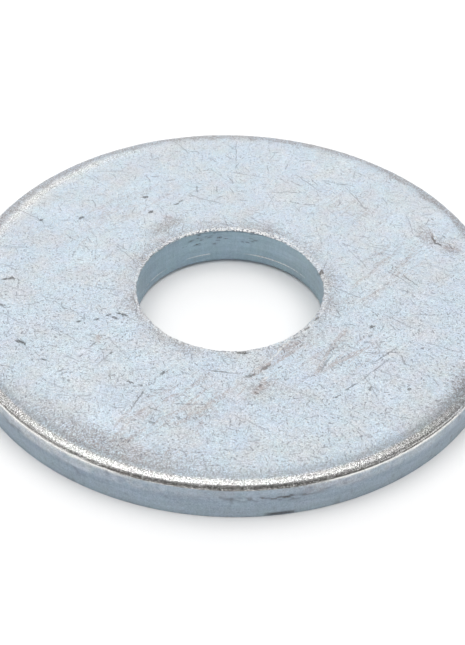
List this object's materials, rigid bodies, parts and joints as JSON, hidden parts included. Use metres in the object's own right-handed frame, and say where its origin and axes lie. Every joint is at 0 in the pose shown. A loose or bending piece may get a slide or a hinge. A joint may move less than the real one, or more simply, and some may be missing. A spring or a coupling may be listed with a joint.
{
  "type": "flat washer",
  "caption": "Flat round steel washer with a large outside diameter, a plain clearance hole and a rolled upper rim, bright zinc plated.",
  "frame": {"origin": "centre of the lower face, on the washer's axis", "axes": "+Z along the washer's axis, from the lower face to the upper face with the rolled rim; X and Y in the lower face"},
  "size_m": [0.03, 0.03, 0.0025],
  "materials": {
    "zinc_plate": "bright zinc plate with a pale blue passivate, satin, lightly scratched and speckled"
  },
  "bodies": {
    "root": {"washer": "zinc_plate"}
  },
  "joints": []
}
